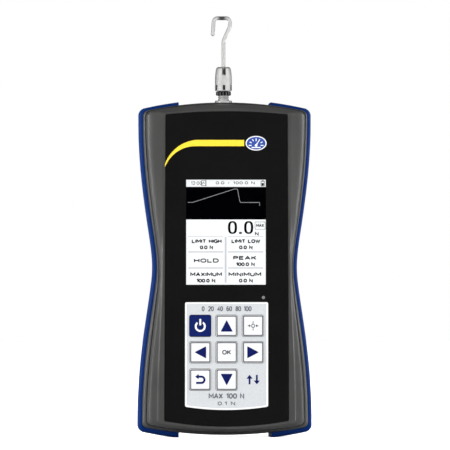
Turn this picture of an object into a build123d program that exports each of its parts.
from build123d import *
import math
import os

# Hand-held digital force gauge, standing upright on the ends of its bumpers.
# Millimetres. +Z runs up the measuring spindle, the display and keys face -Y,
# and the origin is the centre of the bottom of the bounding box.

os.makedirs("parts", exist_ok=True)

# ---------------------------------------------------------------- dimensions
# half width of the case over the bumpers, against height (waisted sides)
SIDE = [(8.0, 47.95), (18.2, 47.8), (27.0, 47.4), (35.8, 46.8), (44.6, 45.95),
        (53.4, 44.9), (62.2, 43.65), (71.0, 42.35), (79.8, 41.05), (88.6, 40.05),
        (95.0, 39.8), (101.8, 40.3), (110.6, 41.55), (119.4, 42.85), (128.2, 44.1),
        (137.0, 45.2), (145.8, 46.15), (154.6, 46.8), (163.4, 47.25), (175.5, 47.4)]
TOP_Z, TOP_K = 185.67, 0.00254        # arch of the bumper tops
BOT_Z, BOT_K = -1.95, 0.0024          # arch of the bumper bottoms, cut flat at z=0
G_TOP_Z, G_TOP_K = 183.9, 0.0024      # arch of the grey case, top
G_BOT_Z, G_BOT_K = 1.3, 0.0021        # arch of the grey case, bottom
BAND = 2.2                            # bumper thickness at the sides
BUMP_Y0, BUMP_Y1 = -9.8, 13.0         # bumper, front and rear faces
BUMP_END_X = 25.5                     # where the bumper ends stop
# bumper section: depth, then how far it is drawn in at the sides, top and foot.
# It is widest near the front and tapers to the rear; the foot stays level.
BUMPER = [(-9.8, 1.9, 1.3, 1.4), (-9.35, 0.98, 0.68, 0.75), (-8.6, 0.40, 0.27, 0.28),
          (-7.2, 0.07, 0.05, 0.04), (-5.0, 0.0, 0.0, 0.0), (0.0, 0.27, 0.13, 0.0),
          (6.0, 0.80, 0.40, 0.0), (10.8, 1.27, 0.65, 0.02), (12.3, 1.6, 0.95, 0.35),
          (13.0, 2.1, 1.4, 1.1)]
SEAM_Y = 1.0                          # parting plane of the two shells
FLANGE_Y1 = 13.8
FRONT_Y, BACK_Y = -21.0, 21.0         # front lip and flat back
PROUD = 0.45                          # keys in front, mounting bosses behind
WALL = 2.3
TONGUE = 1.2                          # bumper tongue let into the shell seam

PAN_X0, PAN_X1 = 34.1, 33.4           # front panel half width, bottom and top
PAN_TOP, PAN_TOP_K = 178.8, 0.0015
PAN_BOT, PAN_BOT_K = 6.3, 0.00267
PAN_Y0, PAN_Y1 = -20.9, -19.7         # front panel, face and back
LIP = 0.8
PAN_GAP = 0.3                         # groove round the front panel

DISP_Z = 112.5                        # display centre
ACT_X, ACT_Z = 43.2, 57.6             # active area
WIN_X, WIN_Z = 46.0, 60.4             # window pane
MOD_X, MOD_Z = 50.0, 69.2             # display module

PAD_X = 22.8                          # keypad plate half width
PAD_TOP, PAD_BOT, PAD_BOT_CORNER = 74.3, 15.3, 17.1
KEY_X = (-14.5, 0.0, 14.5)
KEY_Z = (61.4, 46.9, 31.9)
KEY, KEY_GAP, KEY_R = 11.6, 0.3, 0.9
KEY_BACK = -20.25
STEM, STEM_Y1 = 6.0, -16.35
KEYS = {"power": (0, 0), "up": (1, 0), "zero": (2, 0), "left": (0, 1), "ok": (1, 1),
        "right": (2, 1), "back": (0, 2), "down": (1, 2)}

LED_X, LED_Z, LED_D = 20.2, 76.9, 1.8

PCB_X, PCB_Y0, PCB_Y1, PCB_Z0, PCB_Z1 = 28.0, -12.8, -11.2, 9.0, 153.5
PCB_SCREWS = [(-24.5, 12.4), (24.5, 12.4), (-24.5, 149.9), (24.5, 149.9)]

SP_Y = 3.0                            # the spindle's axis
THREAD_R, THREAD_ROOT, PITCH = 3.0, 2.55, 1.0
RUN = 0.05                            # radial running clearance

CASE_SCREWS = [(-33.0, 14.0), (33.0, 14.0), (-33.0, 167.0), (33.0, 167.0)]
MOUNT_X, MOUNT_Z0, MOUNT_Z1 = 30.0, 60.0, 130.0
INSERT_R, INSERT_BORE, INSERT_L = 3.0, 1.65, 8.0

CELL_R, CELL_L, CELL_PITCH, CELL_Y, CELL_Z0 = 7.2, 50.4, 14.6, 9.5, 22.5


# ------------------------------------------------------------------- helpers
def cubic(table):
    """Natural cubic spline through a table of (t, v)."""
    t = [p[0] for p in table]
    v = [p[1] for p in table]
    n = len(t)
    h = [t[i + 1] - t[i] for i in range(n - 1)]
    a = [0.0] * n
    b = [1.0] * n
    c = [0.0] * n
    d = [0.0] * n
    for i in range(1, n - 1):
        a[i] = h[i - 1]
        b[i] = 2 * (h[i - 1] + h[i])
        c[i] = h[i]
        d[i] = 6 * ((v[i + 1] - v[i]) / h[i] - (v[i] - v[i - 1]) / h[i - 1])
    for i in range(1, n):
        f = a[i] / b[i - 1]
        b[i] -= f * c[i - 1]
        d[i] -= f * d[i - 1]
    m = [0.0] * n
    m[-1] = d[-1] / b[-1]
    for i in range(n - 2, -1, -1):
        m[i] = (d[i] - c[i] * m[i + 1]) / b[i]

    def f(x):
        i = 0
        while i < n - 2 and x > t[i + 1]:
            i += 1
        u0, u1 = t[i + 1] - x, x - t[i]
        return ((m[i] * u0 ** 3 + m[i + 1] * u1 ** 3) / (6 * h[i])
                + (v[i] / h[i] - m[i] * h[i] / 6) * u0
                + (v[i + 1] / h[i] - m[i + 1] * h[i] / 6) * u1)

    return f


case_side = cubic(SIDE)


def unit(x, z):
    r = math.hypot(x, z)
    return (x / r, z / r)


def smooth(x):
    x = min(1.0, max(0.0, x))
    return x * x * (3 - 2 * x)


def bezier(p0, t0, p3, t3, k, n):
    p1 = (p0[0] + t0[0] * k, p0[1] + t0[1] * k)
    p2 = (p3[0] - t3[0] * k, p3[1] - t3[1] * k)
    out = []
    for i in range(n):
        u = i / (n - 1)
        w = ((1 - u) ** 3, 3 * u * (1 - u) ** 2, 3 * u * u * (1 - u), u ** 3)
        out.append(tuple(w[0] * p0[j] + w[1] * p1[j] + w[2] * p2[j] + w[3] * p3[j]
                         for j in (0, 1)))
    return out


def outline(side, top, bot, corner, n_side=15, n_corner=7, n_end=9):
    """Eight joined curves, each (points, start tangent, end tangent), anticlockwise
    from the lower right: right side, corner, top, corner, left side and so on."""
    zt = 170.0
    for _ in range(60):
        zt = top(side(zt))
    zb = 10.0
    for _ in range(60):
        zb = bot(side(zb))
    z1, z2 = zb + corner, zt - corner
    x1, x2 = side(zb) - corner, side(zt) - corner
    e = 0.01
    ts1 = unit(side(z1 + e) - side(z1 - e), 2 * e)
    ts2 = unit(side(z2 + e) - side(z2 - e), 2 * e)
    tt = unit(-2 * e, top(x2 - e) - top(x2 + e))
    tb = unit(2 * e, bot(x1 + e) - bot(x1 - e))
    right = [(side(z1 + (z2 - z1) * i / (n_side - 1)), z1 + (z2 - z1) * i / (n_side - 1))
             for i in range(n_side)]
    ctr = bezier((side(z2), z2), ts2, (x2, top(x2)), tt, 0.56 * corner, n_corner)
    tops = [(x2 - 2 * x2 * i / (n_end - 1), top(abs(x2 - 2 * x2 * i / (n_end - 1))))
            for i in range(n_end)]
    cbr = bezier((x1, bot(x1)), tb, (side(z1), z1), ts1, 0.56 * corner, n_corner)
    bots = [(-x1 + 2 * x1 * i / (n_end - 1), bot(abs(-x1 + 2 * x1 * i / (n_end - 1))))
            for i in range(n_end)]

    def mir(pts):
        return [(-x, z) for x, z in reversed(pts)]

    def mt(t):
        return (t[0], -t[1])

    return [
        (right, ts1, ts2),
        (ctr, ts2, tt),
        (tops, tt, mt(tt)),
        (mir(ctr), mt(tt), mt(ts2)),
        (mir(right), mt(ts2), mt(ts1)),
        (mir(cbr), mt(ts1), mt(tb)),
        (bots, mt(tb), tb),
        (cbr, tb, ts1),
    ]


def blend(a, b, w):
    """Outline between a and b: w is a number, or a function of the height on a."""
    out = []
    for (pa, ta0, ta1), (pb, tb0, tb1) in zip(a, b):
        pts = []
        for (xa, za), (xb, zb) in zip(pa, pb):
            k = w(za) if callable(w) else w
            pts.append((xa + (xb - xa) * k, za + (zb - za) * k))
        k0 = w(pa[0][1]) if callable(w) else w
        k1 = w(pa[-1][1]) if callable(w) else w
        t0 = unit(ta0[0] + (tb0[0] - ta0[0]) * k0, ta0[1] + (tb0[1] - ta0[1]) * k0)
        t1 = unit(ta1[0] + (tb1[0] - ta1[0]) * k1, ta1[1] + (tb1[1] - ta1[1]) * k1)
        out.append((pts, t0, t1))
    return out


def wire(curves, y):
    edges = []
    for pts, t0, t1 in curves:
        edges.append(Edge.make_spline([Vector(x, y, z) for x, z in pts],
                                      tangents=[Vector(t0[0], 0, t0[1]),
                                                Vector(t1[0], 0, t1[1])]))
    return Wire(edges)


def prism(curves, y0, y1):
    return Part() + Solid.extrude(Face(wire(curves, y0)), Vector(0, y1 - y0, 0))


def lofted(levels):
    return Part() + Solid.make_loft([wire(c, y) for y, c in levels])


def box(x0, x1, y0, y1, z0, z1):
    return Pos((x0 + x1) / 2, (y0 + y1) / 2, (z0 + z1) / 2) * Box(
        abs(x1 - x0), abs(y1 - y0), abs(z1 - z0))


def cyl_y(x, z, r, y0, y1):
    return Pos(x, (y0 + y1) / 2, z) * Rot(90, 0, 0) * Cylinder(r, abs(y1 - y0))


def cyl_z(x, y, r, z0, z1):
    return Pos(x, y, (z0 + z1) / 2) * Cylinder(r, abs(z1 - z0))


def cyl_x(y, z, r, x0, x1):
    return Pos((x0 + x1) / 2, y, z) * Rot(0, 90, 0) * Cylinder(r, abs(x1 - x0))


def plate(x, z, w, h, r, y0, y1):
    """Rounded rectangle standing in XZ between y0 and y1."""
    b = box(x - w / 2, x + w / 2, y0, y1, z - h / 2, z + h / 2)
    return fillet(b.edges().filter_by(Axis.Y), r) if r else b


def turned(profile, y=0.0):
    """Solid of revolution about a vertical axis; profile is (r, z)."""
    face = make_face(Polyline(*[(r, 0, z) for r, z in profile], close=True))
    return Pos(0, y, 0) * revolve(face, Axis.Z)


def offset_side(f, d):
    return lambda z: f(z) - d


def write(name, shape):
    solids = shape.solids()
    out = solids[0] if len(solids) == 1 else Compound(children=list(solids))
    export_step(out, "parts/" + name + ".step")
    print(name, len(solids), round(sum(s.volume for s in solids)))


# ------------------------------------------------------------------ outlines
def low(z):
    """0 in the upper half of the case, 1 near its foot."""
    return smooth((118.0 - z) / 85.0)


def strip(z):
    """Width of the strip of case beside the bumper, narrowest at the waist."""
    return 1.05 - 0.5 * math.exp(-((z - 93.0) / 24.0) ** 2) + 0.9 * low(z)


def groove_w(z):
    """Width of the groove inside the strip, which opens up towards the foot."""
    return 0.16 + 0.54 * low(z)


def bumper_line(ds, dt, db):
    """Outline over the bumpers, drawn in at the sides, top and bottom."""
    return outline(lambda z: case_side(z) - ds, lambda x: TOP_Z - TOP_K * x * x - dt,
                   lambda x: BOT_Z + BOT_K * x * x + db, 3.3 - 0.3 * ds)


def grey(inset, corner, side=None, top=0.0, bot=0.0):
    """Outline of the grey case drawn in by inset, and by more where stated."""
    return outline(lambda z: case_side(z) - BAND - inset - (side(z) if side else 0.0),
                   lambda x: G_TOP_Z - G_TOP_K * x * x - inset - top,
                   lambda x: G_BOT_Z + G_BOT_K * x * x + inset + bot,
                   corner)


def panel(inset, corner):
    return outline(lambda z: PAN_X0 + (PAN_X1 - PAN_X0) * (z - 9.4) / 167.7 - inset,
                   lambda x: PAN_TOP - PAN_TOP_K * x * x - inset,
                   lambda x: PAN_BOT + PAN_BOT_K * x * x + inset, corner)


G = grey(0.0, 2.6)
G_IN = grey(WALL, 2.2)
G_TONGUE = grey(TONGUE, 2.4)
A = grey(0.0, 2.5, strip, 0.55, 1.55)
R = grey(0.0, 2.5, lambda z: strip(z) + groove_w(z), 0.72, 1.95)
R_IN = grey(2.2, 2.2, lambda z: strip(z) + groove_w(z), 0.72, 1.95)
P = panel(-LIP, 1.5)
P_IN = panel(1.6, 1.2)

# how far each level has moved from the ridge outline to the panel outline:
# (depth, share near the foot, share near the top)
SHOULDER = [(-9.0, 0.0, 0.0), (-12.5, 0.01, 0.012), (-15.3, 0.03, 0.06),
            (-17.3, 0.07, 0.155), (-18.6, 0.135, 0.29), (-19.4, 0.30, 0.44),
            (-20.2, 0.58, 0.67), (FRONT_Y, 1.0, 1.0)]
STRIP = [(-8.5, 0.0), (-9.8, 0.02), (-11.2, 0.16), (-12.4, 0.46), (-13.1, 0.92)]


def share(lo, hi):
    return lambda z: lo + (hi - lo) * smooth((z - 40.0) / 100.0)


# --------------------------------------------------------------- front shell
flange_f = prism(G, -8.8, SEAM_Y)
strip_f = lofted([(y, blend(G, A, w)) for y, w in STRIP])
raised = lofted([(y, blend(R, P, share(lo, hi))) for y, lo, hi in SHOULDER])
slot_f = prism(A, -16.0, -11.7)
front = flange_f + (strip_f - slot_f) + raised
hollow = prism(G_IN, SEAM_Y + 1, -7.0)
inner = lofted([(y + 2.5, blend(R_IN, P_IN, share(lo, hi))) for y, lo, hi in SHOULDER])
front = front - hollow - inner
pocket = prism(panel(-PAN_GAP, 1.0), -21.5, PAN_Y1)
front = front - pocket
front = front - box(-WIN_X / 2, WIN_X / 2, -20, -18, DISP_Z - WIN_Z / 2, DISP_Z + WIN_Z / 2)
for kx, kz in KEYS.values():
    h = STEM / 2 + 0.6
    x, z = KEY_X[kx], KEY_Z[kz]
    front = front - box(x - h, x + h, -20, -18, z - h, z + h)
front = front - cyl_y(LED_X, LED_Z, LED_D / 2, -20, -18)
# tongue groove along the seam, spindle hole, screw posts and board posts
groove = (prism(G, SEAM_Y - 1.0, SEAM_Y + 1.0) - prism(G_TONGUE, SEAM_Y - 1.5, SEAM_Y + 1.5))
groove = groove & (box(28, 60, -30, 30, -10, 200) + box(-60, -28, -30, 30, -10, 200))
front = front - groove
for x, z in CASE_SCREWS:
    post = cyl_y(x, z, 3.5, -18.6, SEAM_Y) - cyl_y(x, z, 1.3, -14.0, SEAM_Y + 1)
    front = front + post
for x, z in PCB_SCREWS:
    post = cyl_y(x, z, 2.3, -18.6, PCB_Y0) - cyl_y(x, z, 0.95, -17.0, PCB_Y0 + 1)
    front = front + post
front = front - cyl_z(0, SP_Y, 4.0, 175, 190)
write("front_shell", front)

# ---------------------------------------------------------------- rear shell
R2 = grey(0.35, 2.5)
R2_IN = grey(WALL + 0.3, 2.1)
BK = grey(8.0, 5.0)
BK_IN = grey(9.4, 4.0)
REAR = [(13.0, 0.0), (14.8, 0.03), (16.8, 0.12), (18.6, 0.32), (20.0, 0.62), (BACK_Y, 1.0)]
flange_r = prism(G, SEAM_Y, FLANGE_Y1)
flange_r = fillet(flange_r.faces().sort_by(Axis.Y)[-1].edges(), 0.55)
rear = flange_r + lofted([(y, blend(R2, BK, w)) for y, w in REAR])
rear_hollow = prism(G_IN, SEAM_Y - 1, 11.5)
rear_inner = lofted([(y - 2.4, blend(R2_IN, BK_IN, w)) for y, w in REAR])
rear = rear - rear_hollow - rear_inner
for x in (-MOUNT_X, MOUNT_X):
    for z in (MOUNT_Z0, MOUNT_Z1):
        pad = cyl_y(x, z, 5.4, 20.0, BACK_Y + PROUD)
        pad = fillet(pad.edges().sort_by(Axis.Y)[-1], 0.3)
        rear = rear + pad + cyl_y(x, z, 3.9, 12.5, 20.5)
for x, z in CASE_SCREWS:
    rear = rear + cyl_y(x, z, 4.2, SEAM_Y, 19.5)
for x in (-16.0, 16.0):
    rear = rear + (cyl_y(x, 101.0, 3.6, 17.1, 19.5))
for x in (-MOUNT_X, MOUNT_X):
    for z in (MOUNT_Z0, MOUNT_Z1):
        rear = rear - cyl_y(x, z, INSERT_R, BACK_Y + PROUD - INSERT_L, 22)
for x, z in CASE_SCREWS:
    rear = rear - cyl_y(x, z, 3.2, 12.0, 22) - cyl_y(x, z, 1.6, SEAM_Y - 1, 13)
for x in (-16.0, 16.0):
    rear = rear - cyl_y(x, 101.0, 1.45, 16.0, 19.4)
rear = rear - groove - cyl_z(0, SP_Y, 4.0, 175, 190)
# label recess, connector openings at the bottom
rear = rear - plate(0, 95.0, 44.0, 30.0, 2.0, BACK_Y - 0.3, 22)
for i in range(7):                    # finger grip: shallow ribs below the label
    rear = rear - plate(0, 34.0 + 3.2 * i, 32.0, 1.4, 0.68, BACK_Y - 0.5, 22)
rear = rear - plate(-10, 2.0, 10.4, 4.8, 1.0, 0, 5).rotate(Axis((-10, 2.5, 2.0), (1, 0, 0)), 90).translate((0, 5.1, 0))
rear = rear - cyl_z(10, 7.6, 4.1, 0, 6)
write("rear_shell", rear)

# ------------------------------------------------------------------- bumpers
band = lofted([(y, bumper_line(ds, dt, db)) for y, ds, dt, db in BUMPER])
band = band - prism(G, BUMP_Y0 - 1, BUMP_Y1 + 1)
write("bumper_right", (band & box(BUMP_END_X, 60, -30, 30, 0, 200))
      + (groove & box(28, 60, -30, 30, -10, 200)))
write("bumper_left", (band & box(-60, -BUMP_END_X, -30, 30, 0, 200))
      + (groove & box(-60, -28, -30, 30, -10, 200)))

# --------------------------------------------------- front panel and display
over = prism(panel(0.0, 0.8), PAN_Y0, PAN_Y1)
over = over - plate(0, DISP_Z, WIN_X, WIN_Z, 0.8, -22, -19)


def pad_outline(d):
    """Keypad plate: straight top, arched bottom; d widens it."""
    x, k = PAD_X + d, (PAD_BOT_CORNER - PAD_BOT) / PAD_X ** 2
    zc = PAD_BOT + k * x * x - d
    e = [Edge.make_line((-x, 0, PAD_TOP + d), (-x, 0, zc)),
         Edge.make_three_point_arc((-x, 0, zc), (0, 0, PAD_BOT - d), (x, 0, zc)),
         Edge.make_line((x, 0, zc), (x, 0, PAD_TOP + d)),
         Edge.make_line((x, 0, PAD_TOP + d), (-x, 0, PAD_TOP + d))]
    return Face(Wire(e))


def pad_solid(d, y0, y1):
    s = Part() + Solid.extrude(Pos(0, y0, 0) * pad_outline(d), Vector(0, y1 - y0, 0))
    return fillet(s.edges().filter_by(Axis.Y), 0.9)


over = over - pad_solid(0.06, -22, -19)
over = over - cyl_y(LED_X, LED_Z, LED_D / 2, -22, -19)
write("front_panel", over)

pane = plate(0, DISP_Z, WIN_X, WIN_Z, 0.8, PAN_Y0, PAN_Y1)
write("display_window", pane)

lcd = box(-22.5, 22.5, -19.6, -17.2, DISP_Z - 29.8, DISP_Z + 29.8)
write("display_panel", lcd)
gasket = (box(-MOD_X / 2, MOD_X / 2, -18.5, -18.2, DISP_Z - MOD_Z / 2, DISP_Z + MOD_Z / 2)
          - box(-WIN_X / 2, WIN_X / 2, -19, -18, DISP_Z - WIN_Z / 2, DISP_Z + WIN_Z / 2))
write("display_gasket", gasket)
frame = (box(-MOD_X / 2, MOD_X / 2, -18.2, -14.4, DISP_Z - MOD_Z / 2, DISP_Z + MOD_Z / 2)
         - box(-22.5, 22.5, -19, -17.2, DISP_Z - 29.8, DISP_Z + 29.8))
frame = frame - box(-23.4, 23.4, -15.2, -14, DISP_Z - 33.0, DISP_Z + 33.0)
write("display_frame", frame)

led = cyl_y(LED_X, LED_Z, LED_D / 2, PAN_Y0, -13.6) + cyl_y(LED_X, LED_Z, 1.4, -17.8, -16.8)
led = led - box(15, 25, -18, -12, LED_Z + 0.95, 80)
write("status_light", led)

# -------------------------------------------------------------------- keypad
pad = pad_solid(0.0, FRONT_Y, PAN_Y1)
for kx, kz in KEYS.values():
    pad = pad - plate(KEY_X[kx], KEY_Z[kz], KEY + 2 * KEY_GAP, KEY + 2 * KEY_GAP,
                      KEY_R + KEY_GAP, -22, -19)
write("keypad_plate", pad)

switches = Part()
for name, (kx, kz) in KEYS.items():
    x, z = KEY_X[kx], KEY_Z[kz]
    cap = plate(x, z, KEY, KEY, KEY_R, FRONT_Y - PROUD, KEY_BACK)
    cap = fillet(cap.faces().sort_by(Axis.Y)[0].edges(), 0.2)
    h = STEM / 2
    cap = cap + box(x - h, x + h, KEY_BACK - 0.2, STEM_Y1, z - h, z + h)
    write("key_" + name, cap)
    switches = switches + (box(x - 3, x + 3, -14.9, PCB_Y0, z - 3, z + 3)
                           + cyl_y(x, z, 1.7, -15.9, -14.8))
write("key_switches", switches)

# --------------------------------------------------------------- electronics
pcb = box(-PCB_X, PCB_X, PCB_Y0, PCB_Y1, PCB_Z0, PCB_Z1)
for x, z in PCB_SCREWS:
    pcb = pcb - cyl_y(x, z, 1.25, PCB_Y0 - 1, PCB_Y1 + 1)
write("main_board", pcb)
chips = (box(-9, 9, PCB_Y1, -9.6, 118, 136) + box(-24, -13, PCB_Y1, -9.9, 96, 107)
         + box(12, 20, PCB_Y1, -9.8, 92, 104) + box(-6, 6, PCB_Y1, -9.9, 30, 38)
         + box(-23, -15, PCB_Y1, -8.2, 60, 70) + box(14, 24, PCB_Y1, -7.2, 66, 74))
write("board_chips", chips)
buzz = cyl_y(17, 42, 6.0, PCB_Y1, -5.6) - cyl_y(17, 42, 1.0, -7.0, -5.0)
write("buzzer", buzz)
for i, (x, z) in enumerate(PCB_SCREWS):
    write(f"board_screw_{i + 1}", cyl_y(x, z, 0.95, -16.6, PCB_Y1)
          + fillet(cyl_y(x, z, 2.0, PCB_Y1, -9.7).edges().sort_by(Axis.Y)[-1], 0.4)
          - box(x - 1.3, x + 1.3, -10.3, -9, z - 0.25, z + 0.25)
          - box(x - 0.25, x + 0.25, -10.3, -9, z - 1.3, z + 1.3))

port_board = box(-20, 20, 2.0, 13.0, 12.2, 13.7)
write("port_board", port_board)
usb = plate(-10, 7.6, 8.9, 3.2, 0.9, 0, 9.2)
usb = usb - plate(-10, 7.6, 8.3, 2.6, 0.7, -1, 7.5) + box(-13.3, -6.7, 1.0, 8.0, 7.25, 7.95)
usb = usb.rotate(Axis((-10, 0, 0), (1, 0, 0)), 90)
bb = usb.bounding_box()
usb = usb.translate((0, 7.6 - (bb.min.Y + bb.max.Y) / 2, 12.2 - bb.max.Z))
write("usb_socket", usb)
jack = fillet(box(5.4, 14.6, 3.0, 11.2, 5.6, 12.2).edges().filter_by(Axis.Z), 0.6)
jack = jack + cyl_z(10, 7.6, 4.0, 1.9, 5.8)
jack = jack - cyl_z(10, 7.6, 3.05, 0, 11.0)
jack = jack + turned([(0, 2.6), (0.6, 2.3), (1.0, 2.9), (1.0, 11.2), (0, 11.2)]).translate((10, 7.6, 0))
write("power_jack", jack)

# ------------------------------------------------------------------- battery
tray = box(-25.95, 25.95, 7.0, 18.3, 14.7, 88.7)
for i in range(5):
    z = CELL_Z0 + CELL_PITCH * i
    tray = tray - cyl_x(CELL_Y, z, CELL_R, -CELL_L / 2, CELL_L / 2)
    body = cyl_x(CELL_Y, z, CELL_R, -CELL_L / 2, CELL_L / 2 - 1.2)
    body = fillet(body.edges(), 0.6)
    cell = body + cyl_x(CELL_Y, z, 2.7, CELL_L / 2 - 1.3, CELL_L / 2)
    write(f"battery_cell_{i + 1}", cell)
write("battery_tray", tray)

# ------------------------------------------------- load cell and its bracket
base = box(-20, 20, -3, 9, 112, 125) + box(-20, -1.0, -3, 9, 124, 136.5)
base = base - cyl_y(-11, 130.5, 2.6, -5, 11) - cyl_z(0, SP_Y, 2.5, 111, 121)
write("load_cell_base", base)
head = box(-20, 20, -3, 9, 149, 162) + box(1.0, 20, -3, 9, 137.5, 150)
head = head - cyl_y(11, 143.5, 2.6, -5, 11) - cyl_z(0, SP_Y, 2.5, 155, 163)
write("load_cell_head", head)
brk = box(-22, 22, -3, 17, 108.5, 112) + box(-22, 22, 14, 17, 94, 110)
brk = fillet(brk.edges().filter_by(Axis.X).sort_by(lambda e: (e.center().Y - 17) ** 2 + (e.center().Z - 112) ** 2)[0], 2.0)
for x in (-16.0, 16.0):
    brk = brk - cyl_y(x, 101.0, 1.45, 13, 18)
brk = brk - cyl_z(0, SP_Y, 2.5, 107, 113)
write("load_cell_bracket", brk)
bolt = cyl_z(0, SP_Y, 2.5, 108, 121) + (cyl_z(0, SP_Y, 4.2, 104.4, 108.5))
bolt = bolt - extrude(Pos(0, SP_Y, 104.0) * RegularPolygon(2.1, 6), 2.6)
write("load_cell_bolt", bolt)
for i, x in enumerate((-16.0, 16.0)):
    s = cyl_y(x, 101.0, 1.45, 13.8, 19.4) + cyl_y(x, 101.0, 2.7, 11.6, 14.0)
    s = s - (Pos(x, 11.3, 101.0) * Rot(90, 0, 0) * extrude(RegularPolygon(1.4, 6), -1.7))
    write(f"bracket_screw_{i + 1}", s)

# ---------------------------------------------------------- spindle assembly
bush = turned([(THREAD_R + RUN, 176.6), (4.0, 176.6), (4.0, 183.9), (4.7, 183.9),
               (4.7, 184.7), (4.4, 185.0), (THREAD_R + RUN, 185.0)], SP_Y)
write("spindle_bush", bush)

prof = [(0, 155.2), (2.5, 155.2), (2.5, 162.0), (6.0, 162.0), (6.0, 165.0), (4.0, 166.0),
        (4.0, 175.6), (THREAD_R, 176.0), (THREAD_R, 185.6)]
z = 185.6
while z < 196.4:
    prof += [(THREAD_R, z + 0.12), (THREAD_ROOT, z + 0.5), (THREAD_R, z + 0.88)]
    z += PITCH
prof += [(THREAD_R, 196.7), (2.6, 197.2), (0, 197.2)]
write("spindle", turned(prof, SP_Y))

# knurled lock nut
NUT_R, NUT_Z0, NUT_Z1, TEETH = 4.15, 187.75, 190.05, 30
nut = turned([(THREAD_R + RUN, NUT_Z0), (NUT_R - 0.4, NUT_Z0), (NUT_R, NUT_Z0 + 0.35),
              (NUT_R, NUT_Z1 - 0.35), (NUT_R - 0.4, NUT_Z1), (THREAD_R + RUN, NUT_Z1)], SP_Y)
cutters = Part()
for i in range(TEETH):
    a = 360.0 / TEETH * i
    c = Pos(0, SP_Y, 0) * Rot(0, 0, a) * Pos(NUT_R + 0.05, 0, (NUT_Z0 + NUT_Z1) / 2) * Rot(0, 0, 45) * Box(0.36, 0.36, 4)
    nut = nut - c
write("lock_nut", nut)

# hook holder: turned barrel with a rounded top, threaded bore from below and
# six spanner slots round its foot
holder = turned([(THREAD_R + RUN, 190.2), (4.35, 190.2), (4.65, 190.5), (4.65, 197.0),
                 (4.5, 199.4), (4.2, 201.6), (3.95, 202.7), (3.45, 203.3), (2.9, 203.5),
                 (0, 203.5), (0, 198.6), (THREAD_R + RUN, 197.6)], SP_Y)
WIRE_R = 1.05
holder = holder - cyl_z(0, SP_Y, WIRE_R, 198.0, 205)
holder = holder - box(-0.95, 0.95, SP_Y - 6, SP_Y - 0.3, 199.0, 204)
for i in range(6):
    spanner = Pos(0, SP_Y, 0) * Rot(0, 0, 60 * i) * box(-0.7, 0.7, -5.5, -3.7, 190.8, 193.6)
    holder = holder - spanner
write("hook_holder", holder)

# bent wire hook: straight stem, slant to the right, flat-topped arch, left prong
def at(x, z):
    return Vector(x, SP_Y, z)


stem = Edge.make_line(at(0, 198.8), at(0, 216.9))
bend = Edge.make_spline([at(0, 216.9), at(0.24, 218.3), at(0.9, 219.8)],
                        tangents=[Vector(0, 0, 1), Vector(0.408, 0, 0.913)])
slant = Edge.make_line(at(0.9, 219.8), at(3.0, 224.5))
side = Edge.make_spline([at(3.0, 224.5), at(3.5, 225.9), at(3.62, 227.4)],
                        tangents=[Vector(0.408, 0, 0.913), Vector(0, 0, 1)])
corner = Edge.make_spline([at(3.62, 227.4), at(3.02, 229.5), at(1.5, 230.35)],
                          tangents=[Vector(0, 0, 1), Vector(-1, 0, 0)])
crown = Edge.make_line(at(1.5, 230.35), at(-3.2, 230.35))
turn = Edge.make_spline([at(-3.2, 230.35), at(-4.8, 229.62), at(-5.45, 227.9)],
                        tangents=[Vector(-1, 0, 0), Vector(-0.0701, 0, -0.9975)])
prong = Edge.make_line(at(-5.45, 227.9), at(-5.9, 221.5))
path = Wire([stem, bend, slant, side, corner, crown, turn, prong])
hook = Part() + Solid.sweep(Face(Wire(Edge.make_circle(WIRE_R, Plane((0, SP_Y, 198.8), z_dir=(0, 0, 1))))), path)
hook = hook + Pos(-5.9, SP_Y, 221.5) * Sphere(WIRE_R)
write("hook", hook)

# ----------------------------------------------------------------- hardware
n = 0
for x in (-MOUNT_X, MOUNT_X):
    for z in (MOUNT_Z0, MOUNT_Z1):
        n += 1
        ins = cyl_y(x, z, INSERT_R, BACK_Y + PROUD - INSERT_L, BACK_Y + PROUD) - cyl_y(
            x, z, INSERT_BORE, BACK_Y + PROUD - INSERT_L - 1, BACK_Y + PROUD + 1)
        write(f"mounting_insert_{n}", ins)
for i, (x, z) in enumerate(CASE_SCREWS):
    s = cyl_y(x, z, 1.3, -11.0, 12.5) + cyl_y(x, z, 2.8, 12.0, 14.2)
    s = fillet(s.edges().sort_by(Axis.Y)[-1], 0.5)
    s = s - box(x - 1.7, x + 1.7, 13.3, 15, z - 0.3, z + 0.3) - box(
        x - 0.3, x + 0.3, 13.3, 15, z - 1.7, z + 1.7)
    write(f"case_screw_{i + 1}", s)
lab = plate(0, 95.0, 43.8, 29.8, 1.9, BACK_Y - 0.3, BACK_Y)
write("rear_label", lab)
